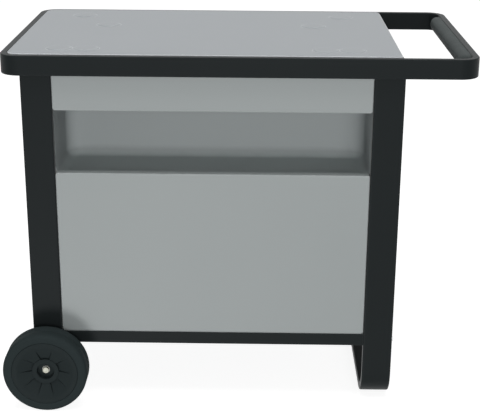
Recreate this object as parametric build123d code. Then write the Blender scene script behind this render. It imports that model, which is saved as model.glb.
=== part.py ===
from build123d import *
import math
import os

# A cart that carries a plancha: a tubular ring round a sheet-metal worktop, drawn out to the
# right as a push handle, on two straight left legs with wheels and one bent right leg loop.
# Millimetres. The floor is z = 0, the front faces -Y and the handle points to +X.

# Top ring, a bent rectangular tube
ring_length = 1070
ring_depth = 610
ring_top = 850
ring_tall = 45
ring_thick = 16
ring_corner = 45
ring_edge = 2.5
tube_wall = 1.2
handle_reach = 198.5

# Handle grip, a plastic half round on the inside of the ring's right end
grip_tall = 34
grip_deep = 25
grip_round = 16
grip_drop = 2
grip_end_gap = 6
grip_end_round = 12
grip_stud_radius = 4
grip_stud_reach = 6
grip_stud_spread = 180
grip_stud_clearance = 0.2

# Worktop, a sheet pan let into the ring
worktop_rise = 2
worktop_sheet = 1.0
worktop_skirt = 21
worktop_lip = 14
worktop_bend = 3
worktop_right_bend = 10
worktop_gap = 0.5
worktop_corner = 20
worktop_right_inset = 4
worktop_screw_clearance = 0.3

# Low round rests pressed up in the worktop for the feet of a large and a small plancha
seat_radius = 30
seat_rise = 2
seat_slope = 4
large_feet_half_length = 332
large_feet_front = 225
large_feet_back = 201
small_feet_front_half_length = 271
small_feet_back_half_length = 255
small_feet_front = 226
small_feet_back = 71

# Legs, flat rectangular tubes
leg_width = 69
leg_thick = 20
leg_edge = 3
sled_bend = 78
leg_below_axle = 36
cap_plate = 4
cap_plug = 14
cap_clearance = 0.2

# Rails between the legs
rail_bottom = 148.5
rail_tall = 30
rail_thick = 18
rail_edge = 2
side_rail_inset = 3
top_rail_drop = 3
insert_length = 22
insert_clearance = 0.15

# Front panel, fascia and side panels, folded sheet pans
fascia_tall = 106.5
fascia_top_gap = 2
panel_sheet = 0.8
panel_deep = 18
panel_bend = 3
panel_corner = 6
panel_gap = 1
panel_recess = 1
side_panel_recess = 4
side_panel_top_gap = 0.5

# Storage niche behind the opening between the fascia and the front panel
mouth_tall = 146.5
bin_lip = 14
bin_depth = 207
bin_sheet = 0.8
bin_corner = 34
bin_floor_bend = 24
bin_overlap = 1
bin_top_gap = 3
bin_flange = 17

# Bottom shelf for the gas bottle
shelf_sheet = 0.8
shelf_gap = 1

# Wheels and axle
wheel_radius = 100
wheel_width = 58
wheel_overhang = 20
wheel_gap = 14
tyre_thick = 21.4
tyre_shoulder = 9
tyre_crest = 7
tyre_crest_round = 12
tyre_bead_drop = 0.8
tyre_edge = 1.5
tyre_clearance = 0.1
rim_recess = 0.5
rim_edge = 1.5
rim_wall = 9
hub_radius = 32
hub_recess_radius = 20.5
hub_recess_deep = 12
hub_rise = 1.5
dish_radius = 68.3
dish_deep = 13.5
web_thick = 22
web_ribs = 10
rib_thick = 4
pocket_count = 5
pocket_deep = 3.5
pocket_inner = 33
pocket_outer = 65
bush_radius = 9
bush_clearance = 0.05
axle_radius = 6
running_clearance = 0.06
side_play = 0.4
leg_bush_radius = 9
leg_bush_flange = 14
leg_bush_flange_thick = 3
spacer_radius = 10
fixed_clearance = 0.1
washer_radius = 7.8
washer_thick = 1.5
axle_cap_radius = 8
axle_cap_tall = 5
axle_cap_wall = 1.5

# Fasteners
bolt_radius = 3
bolt_head_radius = 5.5
bolt_head_tall = 3.3
bolt_into_insert = 18
nut_flats = 10
nut_tall = 5
bolt_past_nut = 1.5
screw_radius = 2
screw_head_radius = 4
screw_head_tall = 2.4
screw_bite = 5
hole_clearance = 0.25
thread_clearance = 0.1
head_round_share = 0.6
socket_deep_share = 0.6
socket_radius_share = 0.75
rim_screw_from_back = 6
leg_bolt_spread = 18
panel_screw_inset = 70
fascia_screw_inset = 25
bin_screw_inset = 30
side_screw_spread = 180
shelf_screw_spread = 250
worktop_screw_spread = 260
worktop_left_screw_spread = 150

# Places worked out from the sizes above
overall_length = ring_length + wheel_overhang
ring_right = overall_length / 2
ring_left = ring_right - ring_length
ring_middle = (ring_left + ring_right) / 2
ring_bottom = ring_top - ring_tall
ring_inside = ring_depth / 2 - ring_thick
between_legs = ring_inside - leg_thick
leg_centre_y = ring_inside - leg_thick / 2
axle_x = -overall_length / 2 + wheel_radius
axle_z = wheel_radius
left_outer = axle_x - leg_width / 2
left_inner = axle_x + leg_width / 2
right_leg_x = ring_right - handle_reach
right_outer = right_leg_x + leg_width / 2
right_inner = right_leg_x - leg_width / 2
worktop_top = ring_top + worktop_rise
worktop_left = ring_left + ring_thick + worktop_gap
worktop_right = right_outer - worktop_right_inset
worktop_half_depth = ring_inside - worktop_gap
worktop_middle = (worktop_left + worktop_right) / 2
leg_top = worktop_top - worktop_skirt
left_leg_bottom = axle_z - leg_below_axle
rail_top = rail_bottom + rail_tall
rail_middle_z = rail_bottom + rail_tall / 2
top_rail_top = ring_bottom - top_rail_drop
top_rail_bottom = top_rail_top - rail_tall
shelf_top = rail_top + shelf_sheet
panel_left = left_inner + panel_gap
panel_right = right_inner - panel_gap
panel_front = -ring_inside + panel_recess
panel_back = panel_front + panel_deep
fascia_top = leg_top - fascia_top_gap
fascia_bottom = fascia_top - fascia_tall
panel_top = fascia_bottom - mouth_tall
bin_left = left_inner - bin_overlap
bin_right = right_inner + bin_overlap
bin_front = -between_legs
bin_back = -ring_inside + bin_depth + bin_sheet
bin_floor = panel_top - bin_lip
bin_bottom = bin_floor - bin_sheet
bin_top = ring_bottom - bin_top_gap
rim_radius = wheel_radius - tyre_thick
wheel_inner_face = ring_inside + wheel_gap

BASE = (Align.CENTER, Align.CENTER, Align.MIN)
AXES = (Axis.X, Axis.Y, Axis.Z)
SMALLEST_ROUND = 0.2
PICK_MARGIN = 0.5


def save(name, shape):
    """Write one node; a list becomes a group of separate solids."""
    solid = Compound(children=list(shape)) if isinstance(shape, list) else shape
    export_step(solid, f"parts/{name}.step")


def block(low, high):
    """A box between two corners."""
    size = [b - a for a, b in zip(low, high)]
    middle = [(a + b) / 2 for a, b in zip(low, high)]
    return Pos(*middle) * Box(*size)


def peg(point, direction, radius, length):
    """A round bar that starts at a point and runs along a direction."""
    return Plane(origin=point, z_dir=direction) * Cylinder(radius, length, align=BASE)


def bored(shape, holes):
    """The shape with round holes: each is a start point, a direction, a radius and a length."""
    return shape - [peg(*hole) for hole in holes]


def tube(along, low, high, edge):
    """A rectangular tube between two corners, open at both ends of one axis."""
    inset = [tube_wall] * 3
    inset[along] = -tube_wall
    hollow_low = [a + d for a, d in zip(low, inset)]
    hollow_high = [b - d for b, d in zip(high, inset)]
    outer = block(low, high)
    hollow = block(hollow_low, hollow_high)
    outer = fillet(outer.edges().filter_by(AXES[along]), edge)
    hollow = fillet(hollow.edges().filter_by(AXES[along]), max(edge - tube_wall, SMALLEST_ROUND))
    return outer - hollow


def pan(wide, tall):
    """A sheet pan with its face at y = 0 towards -Y, centred in x and z, rims turned to +Y."""
    outer = Pos(0, panel_deep / 2, 0) * Box(wide, panel_deep, tall)
    outer = fillet(outer.edges().filter_by(Axis.Y), panel_corner)
    outer = fillet(outer.faces().sort_by(Axis.Y)[0].edges(), panel_bend)
    inside_wide = wide - 2 * panel_sheet
    inside_tall = tall - 2 * panel_sheet
    inner = Pos(0, panel_sheet + panel_deep / 2, 0) * Box(inside_wide, panel_deep, inside_tall)
    inner = fillet(inner.edges().filter_by(Axis.Y), panel_corner - panel_sheet)
    inner = fillet(inner.faces().sort_by(Axis.Y)[0].edges(), panel_bend - panel_sheet)
    return outer - inner


def round_head(radius, length, head_radius, head_tall):
    """A round-head screw along +Z with a hexagon socket; its head seats at z = 0."""
    head = Pos(0, 0, -head_tall) * Cylinder(head_radius, head_tall, align=BASE)
    head = fillet(head.edges().group_by(Axis.Z)[0], head_tall * head_round_share)
    shank = Cylinder(radius, length, align=BASE)
    socket = RegularPolygon(radius * socket_radius_share, 6)
    socket = extrude(socket, amount=head_tall * socket_deep_share)
    return head + shank - Pos(0, 0, -head_tall) * socket


def screw(point, direction, length):
    """A sheet-metal screw whose head seats at a point."""
    solid = round_head(screw_radius, length, screw_head_radius, screw_head_tall)
    return Plane(origin=point, z_dir=direction) * solid


def bolt(point, direction, length):
    """A machine bolt whose head seats at a point."""
    solid = round_head(bolt_radius, length, bolt_head_radius, bolt_head_tall)
    return Plane(origin=point, z_dir=direction) * solid


def ring_outline(inset):
    """The ring's plan outline, drawn in by a distance."""
    return RectangleRounded(ring_length - 2 * inset, ring_depth - 2 * inset, ring_corner - inset)


def leg_bolt_points():
    """Where the legs are bolted to the ring: the seat of each head and its direction."""
    height = (ring_bottom + leg_top) / 2
    points = []
    for x in (axle_x, right_leg_x):
        for side in (-1, 1):
            for step in (-leg_bolt_spread, leg_bolt_spread):
                points.append(((x + step, side * between_legs, height), (0, side, 0)))
    return points


def worktop_screw_points():
    """Where the worktop's skirt is screwed to the ring, seen from inside the skirt."""
    height = leg_top + worktop_sheet + screw_head_radius + worktop_screw_clearance
    inner_y = worktop_half_depth - worktop_sheet
    inner_x = worktop_left + worktop_sheet
    points = []
    for step in (-worktop_screw_spread, 0, worktop_screw_spread):
        for side in (-1, 1):
            points.append(((worktop_middle + step, side * inner_y, height), (0, side, 0)))
    for step in (-worktop_left_screw_spread, worktop_left_screw_spread):
        points.append(((inner_x, step, height), (-1, 0, 0)))
    return points


def grip_stud_points():
    """Where the grip's studs enter the ring's inner wall."""
    height = ring_top - grip_drop - grip_tall / 2
    wall = ring_right - ring_thick
    return [(wall, step, height) for step in (-grip_stud_spread, 0, grip_stud_spread)]


def rail_bolt_points():
    """Where the front and rear rails are bolted through the legs: head seat and direction."""
    points = []
    for side in (-1, 1):
        y = side * leg_centre_y
        points.append(((left_outer, y, rail_middle_z), (1, 0, 0)))
        points.append(((right_outer, y, rail_middle_z), (-1, 0, 0)))
    return points


def panel_screw_points():
    """Front panel: its side rims to the legs, its bottom rim to the shelf and the front rail."""
    y = panel_back - rim_screw_from_back
    left = panel_left + panel_sheet
    right = panel_right - panel_sheet
    points = []
    for z in (shelf_top + panel_screw_inset, panel_top - panel_screw_inset):
        points.append(((left, y, z), (-1, 0, 0)))
        points.append(((right, y, z), (1, 0, 0)))
    return points


def panel_foot_points():
    """The front panel's bottom rim on the shelf."""
    middle = (panel_left + panel_right) / 2
    steps = (-shelf_screw_spread, shelf_screw_spread)
    return [((middle + step, -leg_centre_y, shelf_top + panel_sheet), (0, 0, -1)) for step in steps]


def fascia_screw_points():
    """The fascia's side rims to the legs."""
    y = panel_back - rim_screw_from_back
    left = panel_left + panel_sheet
    right = panel_right - panel_sheet
    points = []
    for z in (fascia_bottom + fascia_screw_inset, fascia_top - fascia_screw_inset):
        points.append(((left, y, z), (-1, 0, 0)))
        points.append(((right, y, z), (1, 0, 0)))
    return points


def bin_screw_points():
    """The niche's side flanges to the back of the front legs."""
    y = bin_front + bin_sheet
    reach = bin_overlap + bin_flange / 2
    points = []
    for z in (panel_top + bin_screw_inset, bin_top - bin_screw_inset):
        points.append(((left_inner - reach, y, z), (0, -1, 0)))
        points.append(((right_inner + reach, y, z), (0, -1, 0)))
    return points


def side_panel_faces():
    """Each side panel's outer face in x, with the direction that it faces."""
    return ((left_outer + side_panel_recess, -1), (right_outer - side_panel_recess, 1))


def side_screw_points(face, facing, top):
    """One side panel's top or bottom rim to the rail above or below it."""
    x = face - facing * panel_deep / 2
    z = top_rail_bottom - side_panel_top_gap - panel_sheet if top else shelf_top + panel_sheet
    direction = (0, 0, 1 if top else -1)
    return [((x, step, z), direction) for step in (-side_screw_spread, side_screw_spread)]


def shelf_screw_points():
    """The shelf's rear edge to the rear rail."""
    middle = (panel_left + panel_right) / 2
    steps = (-shelf_screw_spread, 0, shelf_screw_spread)
    return [((middle + step, leg_centre_y, shelf_top), (0, 0, -1)) for step in steps]


def holes_for(points, radius, length):
    """Holes that start at the head seats and follow the fasteners."""
    return [(point, direction, radius, length) for point, direction in points]


bolt_hole = bolt_radius + hole_clearance
bolt_thread = bolt_radius + thread_clearance
screw_hole = screw_radius + hole_clearance
screw_thread = screw_radius + thread_clearance
leg_bolt_length = leg_thick + tube_wall + nut_tall + bolt_past_nut
rail_bolt_length = leg_width + bolt_into_insert
worktop_screw_length = worktop_sheet + worktop_gap + tube_wall + screw_bite
panel_screw_length = panel_sheet + panel_gap + tube_wall + screw_bite
foot_screw_length = panel_sheet + shelf_sheet + tube_wall + screw_bite
bin_screw_length = bin_sheet + tube_wall + screw_bite
shelf_screw_length = shelf_sheet + tube_wall + screw_bite
top_screw_length = panel_sheet + side_panel_top_gap + tube_wall + screw_bite


def top_ring():
    """The bent tube ring, hollow, with its bolt, screw and stud holes in the inner wall."""
    band = extrude(ring_outline(0) - ring_outline(ring_thick), amount=ring_tall)
    rims = band.edges().group_by(Axis.Z)
    band = fillet(rims[0] + rims[-1], ring_edge)
    hollow = ring_outline(tube_wall) - ring_outline(ring_thick - tube_wall)
    hollow = extrude(hollow, amount=ring_tall - 2 * tube_wall)
    rims = hollow.edges().group_by(Axis.Z)
    band -= Pos(0, 0, tube_wall) * fillet(rims[0] + rims[-1], max(ring_edge - tube_wall, SMALLEST_ROUND))
    band = Pos(ring_middle, 0, ring_bottom) * band
    band = bored(band, holes_for(leg_bolt_points(), bolt_hole, leg_thick + 2 * tube_wall))
    band = bored(band, holes_for(worktop_screw_points(), screw_thread, worktop_screw_length))
    stud_hole = grip_stud_radius + grip_stud_clearance
    return bored(band, [(p, (1, 0, 0), stud_hole, 2 * tube_wall) for p in grip_stud_points()])


def ring_nuts():
    """Weld nuts on the inner side of the ring's inner wall, one for each leg bolt."""
    nut = extrude(RegularPolygon(nut_flats / 2, 6, major_radius=False), amount=nut_tall)
    nut -= Cylinder(bolt_thread, nut_tall, align=BASE)
    nuts = []
    for (x, y, z), direction in leg_bolt_points():
        seat = y + direction[1] * (leg_thick + tube_wall)
        nuts.append(Plane(origin=(x, seat, z), z_dir=direction) * nut)
    return nuts


def handle_grip():
    """The half-round grip with three studs that snap into the ring's inner wall."""
    length = ring_depth - 2 * ring_corner - 2 * grip_end_gap
    wall = ring_right - ring_thick
    top = ring_top - grip_drop
    body = block((wall - grip_deep, -length / 2, top - grip_tall), (wall, length / 2, top))
    long_edges = body.edges().filter_by(Axis.Y).group_by(Axis.X)[0]
    body = fillet(long_edges, grip_round)
    ends = body.faces().sort_by(Axis.Y)
    end_edges = ends[0].edges() + ends[-1].edges()
    end_edges = [e for e in end_edges if e.center().X < wall - PICK_MARGIN]
    body = fillet(end_edges, grip_end_round)
    for point in grip_stud_points():
        body += peg(point, (1, 0, 0), grip_stud_radius, tube_wall + grip_stud_reach)
    return body


def worktop_outline(inset):
    """The worktop's plan outline, drawn in by a distance, with round corners."""
    wide = worktop_right - worktop_left - 2 * inset
    deep = 2 * worktop_half_depth - 2 * inset
    outline = Pos(worktop_middle, 0) * Rectangle(wide, deep)
    left_round = ring_corner - ring_thick - worktop_gap - inset
    columns = outline.vertices().group_by(Axis.X)
    outline = fillet(columns[0], max(left_round, SMALLEST_ROUND))
    columns = outline.vertices().group_by(Axis.X)
    return fillet(columns[-1], max(worktop_corner - inset, SMALLEST_ROUND))


def seat_points():
    """Centres of the round rests for feet."""
    points = []
    for side in (-1, 1):
        points.append((worktop_middle + side * large_feet_half_length, -large_feet_front))
        points.append((worktop_middle + side * large_feet_half_length, large_feet_back))
        points.append((worktop_middle + side * small_feet_front_half_length, -small_feet_front))
        points.append((worktop_middle + side * small_feet_back_half_length, small_feet_back))
    return points


def worktop_shell(inset):
    """The worktop's outside, or its inside when drawn in: bent edges, the free right one rounder."""
    tall = worktop_skirt - 2 * inset
    shell = extrude(worktop_outline(inset), amount=tall)
    shell = fillet(shell.faces().sort_by(Axis.Z)[-1].edges(), worktop_bend - inset)
    right = worktop_right - inset
    side_view = Pos((worktop_left + right) / 2, tall / 2) * Rectangle(right - worktop_left, tall)
    corner = side_view.vertices().sort_by(Axis.X)[-2:].sort_by(Axis.Y)[-1]
    side_view = fillet(corner, worktop_right_bend - inset)
    return shell & extrude(Plane.XZ * side_view, amount=ring_inside, both=True)


def worktop():
    """The worktop pan: a top with round rests, a skirt and an inturned lip on the legs."""
    body = worktop_shell(0)
    body -= Pos(0, 0, worktop_sheet) * worktop_shell(worktop_sheet)
    body -= extrude(worktop_outline(worktop_lip), amount=worktop_sheet)
    top_radius = seat_radius - seat_slope
    rest = Cone(seat_radius, top_radius, seat_rise, align=BASE)
    under = Cone(seat_radius - worktop_sheet, top_radius - worktop_sheet, seat_rise, align=BASE)
    body += [Pos(x, y, worktop_skirt) * rest for x, y in seat_points()]
    body -= [Pos(x, y, worktop_skirt - worktop_sheet) * under for x, y in seat_points()]
    body = Pos(0, 0, leg_top) * body
    return bored(body, holes_for(worktop_screw_points(), screw_hole, 2 * worktop_sheet))


def left_leg(side):
    """One straight left leg, from the worktop's lip down past the axle."""
    near, far = sorted((side * ring_inside, side * between_legs))
    leg = tube(2, (left_outer, near, left_leg_bottom), (left_inner, far, leg_top), leg_edge)
    bush_hole = leg_bush_radius + fixed_clearance
    return with_leg_holes(bored(leg, [((axle_x, near, axle_z), (0, 1, 0), bush_hole, leg_thick)]))


def with_leg_holes(leg):
    """A leg with every bolt and screw hole that falls on it."""
    leg = bored(leg, holes_for(leg_bolt_points(), bolt_hole, leg_thick))
    leg = bored(leg, holes_for(rail_bolt_points(), bolt_hole, leg_width))
    leg = bored(leg, holes_for(panel_screw_points(), screw_thread, panel_screw_length))
    leg = bored(leg, holes_for(fascia_screw_points(), screw_thread, panel_screw_length))
    return bored(leg, holes_for(bin_screw_points(), screw_thread, bin_screw_length))


def loop_profile(inset):
    """The right leg loop's side view in the YZ plane: outline less opening, drawn in."""
    outer_half = ring_inside - inset
    inner_half = between_legs + inset
    outer = Pos(0, (inset + leg_top) / 2) * Rectangle(2 * outer_half, leg_top - inset)
    outer = fillet(outer.vertices().group_by(Axis.Y)[0], sled_bend - inset)
    floor = leg_thick - inset
    inner = Pos(0, (floor + leg_top) / 2) * Rectangle(2 * inner_half, leg_top - floor)
    inner = fillet(inner.vertices().group_by(Axis.Y)[0], sled_bend - leg_thick + inset)
    return outer - inner


def right_leg_loop():
    """The right legs: one flat tube bent round under the cart as a sled foot."""
    side_view = Plane(origin=(0, 0, 0), x_dir=(0, 1, 0), z_dir=(1, 0, 0))
    loop = side_view * extrude(loop_profile(0), amount=leg_width)
    sides = loop.faces().filter_by(Axis.X)
    long_edges = sides[0].edges() + sides[-1].edges()
    long_edges = [e for e in long_edges if e.center().Z < leg_top - PICK_MARGIN]
    loop = fillet(long_edges, leg_edge)
    hollow = side_view * extrude(loop_profile(tube_wall), amount=leg_width - 2 * tube_wall)
    loop -= Pos(tube_wall, 0, 0) * hollow
    return with_leg_holes(Pos(right_inner, 0, 0) * loop)


def left_leg_caps():
    """Plastic plugs in the open lower ends of the left legs."""
    caps = []
    inset = tube_wall + cap_clearance
    for side in (-1, 1):
        y = side * leg_centre_y
        plate = Box(leg_width, leg_thick, cap_plate, align=BASE)
        plate = fillet(plate.edges().filter_by(Axis.Z), leg_edge)
        plate = Pos(axle_x, y, left_leg_bottom - cap_plate) * plate
        plug = Box(leg_width - 2 * inset, leg_thick - 2 * inset, cap_plug, align=BASE)
        plug = fillet(plug.edges().filter_by(Axis.Z), max(leg_edge - tube_wall, SMALLEST_ROUND))
        caps.append(plate + Pos(axle_x, y, left_leg_bottom) * plug)
    return caps


def cross_rail(side):
    """The front or rear bottom rail between the left and right legs."""
    y = side * leg_centre_y
    low = (left_inner, y - rail_thick / 2, rail_bottom)
    high = (right_inner, y + rail_thick / 2, rail_top)
    rail = tube(0, low, high, rail_edge)
    points = panel_foot_points() + shelf_screw_points()
    return bored(rail, holes_for(points, screw_thread, foot_screw_length))


def side_rail(face, facing, bottom):
    """A rail between the front and rear legs of one side."""
    outer = face + facing * (side_panel_recess - side_rail_inset)
    near, far = sorted((outer, outer - facing * rail_thick))
    rail = tube(1, (near, -between_legs, bottom), (far, between_legs, bottom + rail_tall), rail_edge)
    points = side_screw_points(face, facing, bottom == top_rail_bottom)
    return bored(rail, holes_for(points, screw_thread, foot_screw_length))


def rail_inserts():
    """Threaded plugs in the ends of the front and rear rails, for the rail bolts."""
    inset = tube_wall + insert_clearance
    size = (insert_length, rail_thick - 2 * inset, rail_tall - 2 * inset)
    inserts = []
    for (seat, y, z), direction in rail_bolt_points():
        x = seat + direction[0] * (leg_width + insert_length / 2)
        insert = Box(*size)
        insert = fillet(insert.edges().filter_by(Axis.X), max(rail_edge - tube_wall, SMALLEST_ROUND))
        insert = Pos(x, y, z) * insert
        start = (x - insert_length / 2, y, z)
        inserts.append(bored(insert, [(start, (1, 0, 0), bolt_thread, insert_length)]))
    return inserts


def placed_pan(bottom, top):
    """A pan between the legs at the front."""
    middle = (panel_left + panel_right) / 2
    return Pos(middle, panel_front, (bottom + top) / 2) * pan(panel_right - panel_left, top - bottom)


def front_panel():
    """The lower front panel, standing on the shelf's edge over the front rail."""
    panel = placed_pan(shelf_top, panel_top)
    panel = bored(panel, holes_for(panel_screw_points(), screw_hole, 2 * panel_sheet))
    return bored(panel, holes_for(panel_foot_points(), screw_hole, 2 * panel_sheet))


def fascia():
    """The narrow front panel under the ring."""
    panel = placed_pan(fascia_bottom, fascia_top)
    return bored(panel, holes_for(fascia_screw_points(), screw_hole, 2 * panel_sheet))


def side_panel(face, facing):
    """A side panel between the legs and the side rails of one side."""
    bottom = shelf_top
    top = top_rail_bottom - side_panel_top_gap
    panel = Rot(0, 0, 90 * facing) * pan(2 * (between_legs - panel_gap), top - bottom)
    panel = Pos(face, 0, (bottom + top) / 2) * panel
    for upper in (True, False):
        points = side_screw_points(face, facing, upper)
        panel = bored(panel, holes_for(points, screw_hole, 2 * panel_sheet))
    return panel


def bin_body(inset):
    """The niche's outside, or its inside when drawn in by the sheet."""
    front = bin_front if inset == 0 else bin_front + inset
    low = (bin_left + inset, front, bin_bottom + inset)
    high = (bin_right - inset, bin_back - inset, bin_top + inset)
    body = block(low, high)
    body = fillet(body.faces().sort_by(Axis.Y)[-1].edges().filter_by(Axis.Z), bin_corner - inset)
    floor_edges = body.faces().sort_by(Axis.Z)[0].edges()
    floor_edges = [e for e in floor_edges if e.center().Y > front + PICK_MARGIN]
    return fillet(floor_edges, bin_floor_bend - inset)


def storage_bin():
    """The storage niche: a sheet tub with a low front lip and flanges behind the front legs."""
    shell = bin_body(0) - bin_body(bin_sheet)
    lip_top = panel_top - panel_sheet
    mouth_low = (bin_left + bin_sheet, bin_front, lip_top)
    mouth_high = (bin_right - bin_sheet, bin_front + bin_sheet, bin_top)
    shell -= block(mouth_low, mouth_high)
    for wall, way in ((bin_left, -1), (bin_right, 1)):
        near, far = sorted((wall, wall + way * bin_flange))
        low = (near, bin_front, panel_top)
        shell += block(low, (far, bin_front + bin_sheet, bin_top))
    return bored(shell, holes_for(bin_screw_points(), screw_hole, 2 * bin_sheet))


def bottom_shelf():
    """The bottom plate on the four bottom rails, notched round the legs."""
    left = left_outer + side_panel_recess + shelf_gap
    right = right_outer - side_panel_recess - shelf_gap
    half = between_legs - shelf_gap
    edge = leg_centre_y + rail_thick / 2 - rail_edge
    plate = block((left, -half, rail_top), (right, half, shelf_top))
    plate += block((left_inner + shelf_gap, -edge, rail_top), (right_inner - shelf_gap, edge, shelf_top))
    points = panel_foot_points() + shelf_screw_points()
    for face, facing in side_panel_faces():
        points += side_screw_points(face, facing, False)
    return bored(plate, holes_for(points, screw_hole, 2 * panel_sheet + shelf_sheet))


def on_wheel_axis(side, solid):
    """Place a solid made along +Z on the axle, its +Z towards the outside of one wheel."""
    origin = (axle_x, side * wheel_inner_face, axle_z)
    return Plane(origin=origin, x_dir=(-side, 0, 0), z_dir=(0, side, 0)) * solid


rim_face = wheel_width - rim_recess
hub_top = rim_face - dish_deep + hub_rise
recess_floor = hub_top - hub_recess_deep
washer_start = recess_floor + side_play
cap_start = washer_start + washer_thick
axle_end = cap_start + axle_cap_tall - axle_cap_wall - side_play


def wheel_tyre(side):
    """The tyre: round shoulders, and sidewalls that fall from a crest to the rim."""
    crest = rim_radius + tyre_crest
    section = Polyline((rim_radius, tyre_bead_drop), (crest, 0), (wheel_radius, 0),
                       (wheel_radius, wheel_width), (crest, wheel_width),
                       (rim_radius, wheel_width - tyre_bead_drop), close=True)
    section = make_face(section)
    for column, rounding in ((0, tyre_edge), (-1, tyre_shoulder)):
        section = fillet(section.vertices().group_by(Axis.X)[column], rounding)
    crest_points = [v for v in section.vertices() if abs(v.X - crest) < PICK_MARGIN]
    section = fillet(crest_points, tyre_crest_round)
    return on_wheel_axis(side, revolve(Plane.XZ * section, axis=Axis.Z))


def dish_height(radius):
    """How high the dished face of the disc is at a radius between the hub and the dish's edge."""
    return rim_face - dish_deep * (dish_radius - radius) / (dish_radius - hub_radius)


def wheel_dish():
    """What is taken from the disc's face so that it falls towards the hub."""
    floor = dish_height(hub_radius)
    section = Polyline((0, floor), (hub_radius, floor), (dish_radius, rim_face), (0, rim_face), close=True)
    return revolve(Plane.XZ * make_face(section), axis=Axis.Z)


def wheel_pocket():
    """A wedge-shaped pocket in the dished face, deepest beside the hub."""
    half = math.pi / (2 * pocket_count)
    far = rim_radius
    bottom = dish_height(pocket_inner) - pocket_deep
    sweep = Polyline((0, 0), (far * math.cos(half), -far * math.sin(half)),
                     (far * math.cos(half), far * math.sin(half)), close=True)
    wedge = extrude(make_face(sweep), amount=rim_face - bottom)
    slope = Polyline((pocket_inner, bottom), (pocket_outer, dish_height(pocket_outer)),
                     (pocket_outer, rim_face), (pocket_inner, rim_face), close=True)
    ramp = revolve(Plane.XZ * make_face(slope), axis=Axis.Z)
    return Pos(0, 0, bottom) * wedge & ramp


def wheel_disc(side):
    """The moulded disc: hub, dished web with pockets in its face and ribs behind it, and rim."""
    outer = rim_radius - tyre_clearance
    disc = Cylinder(outer, rim_face - rim_recess, align=BASE)
    disc = Pos(0, 0, rim_recess) * disc
    disc = fillet(disc.edges().filter_by(GeomType.CIRCLE), rim_edge)
    back = rim_face - web_thick
    disc -= Cylinder(outer - rim_wall, back, align=BASE)
    rib_length = outer - rim_wall / 2
    for step in range(web_ribs):
        rib = Pos(rib_length / 2, 0, rim_recess) * Box(rib_length, rib_thick, back - rim_recess, align=BASE)
        disc += Rot(0, 0, step * 360 / web_ribs) * rib
    disc -= wheel_dish()
    pocket = wheel_pocket()
    disc -= [Rot(0, 0, 90 + step * 360 / pocket_count) * pocket for step in range(pocket_count)]
    hub = Cylinder(hub_radius, hub_top, align=BASE)
    hub = fillet(hub.edges().group_by(Axis.Z)[-1], hub_rise)
    disc += hub
    disc -= Pos(0, 0, recess_floor) * Cylinder(hub_recess_radius, hub_recess_deep, align=BASE)
    disc -= Cylinder(bush_radius + bush_clearance, hub_top, align=BASE)
    return on_wheel_axis(side, disc)


def wheel_bush(side):
    """The plain bearing bush in the hub."""
    bush = Cylinder(bush_radius, recess_floor, align=BASE)
    bush -= Cylinder(axle_radius + running_clearance, recess_floor, align=BASE)
    return on_wheel_axis(side, bush)


def axle():
    """The steel axle through both left legs and both wheels."""
    half = wheel_inner_face + axle_end
    return peg((axle_x, -half, axle_z), (0, 1, 0), axle_radius, 2 * half)


def axle_bushes():
    """Flanged sleeves that line the axle holes in the left legs."""
    bore = axle_radius + fixed_clearance
    flange_base = -wheel_gap
    bushes = []
    for side in (-1, 1):
        sleeve = Pos(0, 0, flange_base - leg_thick) * Cylinder(leg_bush_radius, leg_thick, align=BASE)
        sleeve += Pos(0, 0, flange_base) * Cylinder(leg_bush_flange, leg_bush_flange_thick, align=BASE)
        drilled = leg_thick + leg_bush_flange_thick
        sleeve -= Pos(0, 0, flange_base - leg_thick) * Cylinder(bore, drilled, align=BASE)
        bushes.append(on_wheel_axis(side, sleeve))
    return bushes


def axle_spacers():
    """Short tubes on the axle between the leg bushes and the wheels."""
    start = leg_bush_flange_thick - wheel_gap
    length = -start - side_play
    spacers = []
    for side in (-1, 1):
        spacer = Cylinder(spacer_radius, length, align=BASE)
        spacer -= Cylinder(axle_radius + fixed_clearance, length, align=BASE)
        spacers.append(on_wheel_axis(side, Pos(0, 0, start) * spacer))
    return spacers


def axle_washers():
    """Washers that keep the wheels on, in the hub recesses."""
    washers = []
    for side in (-1, 1):
        washer = Cylinder(washer_radius, washer_thick, align=BASE)
        washer -= Cylinder(axle_radius + fixed_clearance, washer_thick, align=BASE)
        washers.append(on_wheel_axis(side, Pos(0, 0, washer_start) * washer))
    return washers


def axle_caps():
    """Domed push-on caps on the axle's ends."""
    caps = []
    for side in (-1, 1):
        cap = Cylinder(axle_cap_radius, axle_cap_tall, align=BASE)
        cap = fillet(cap.edges().group_by(Axis.Z)[-1], axle_cap_tall * head_round_share)
        cap -= Cylinder(axle_radius + fixed_clearance, axle_cap_tall - axle_cap_wall, align=BASE)
        caps.append(on_wheel_axis(side, Pos(0, 0, cap_start) * cap))
    return caps


os.makedirs("parts", exist_ok=True)

save("top_ring", top_ring())
save("ring_nuts", ring_nuts())
save("leg_bolts", [bolt(point, way, leg_bolt_length) for point, way in leg_bolt_points()])
save("handle_grip", handle_grip())
save("worktop", worktop())
save("worktop_screws", [screw(point, way, worktop_screw_length) for point, way in worktop_screw_points()])

save("front_left_leg", left_leg(-1))
save("rear_left_leg", left_leg(1))
save("left_leg_caps", left_leg_caps())
save("right_leg_loop", right_leg_loop())

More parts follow.
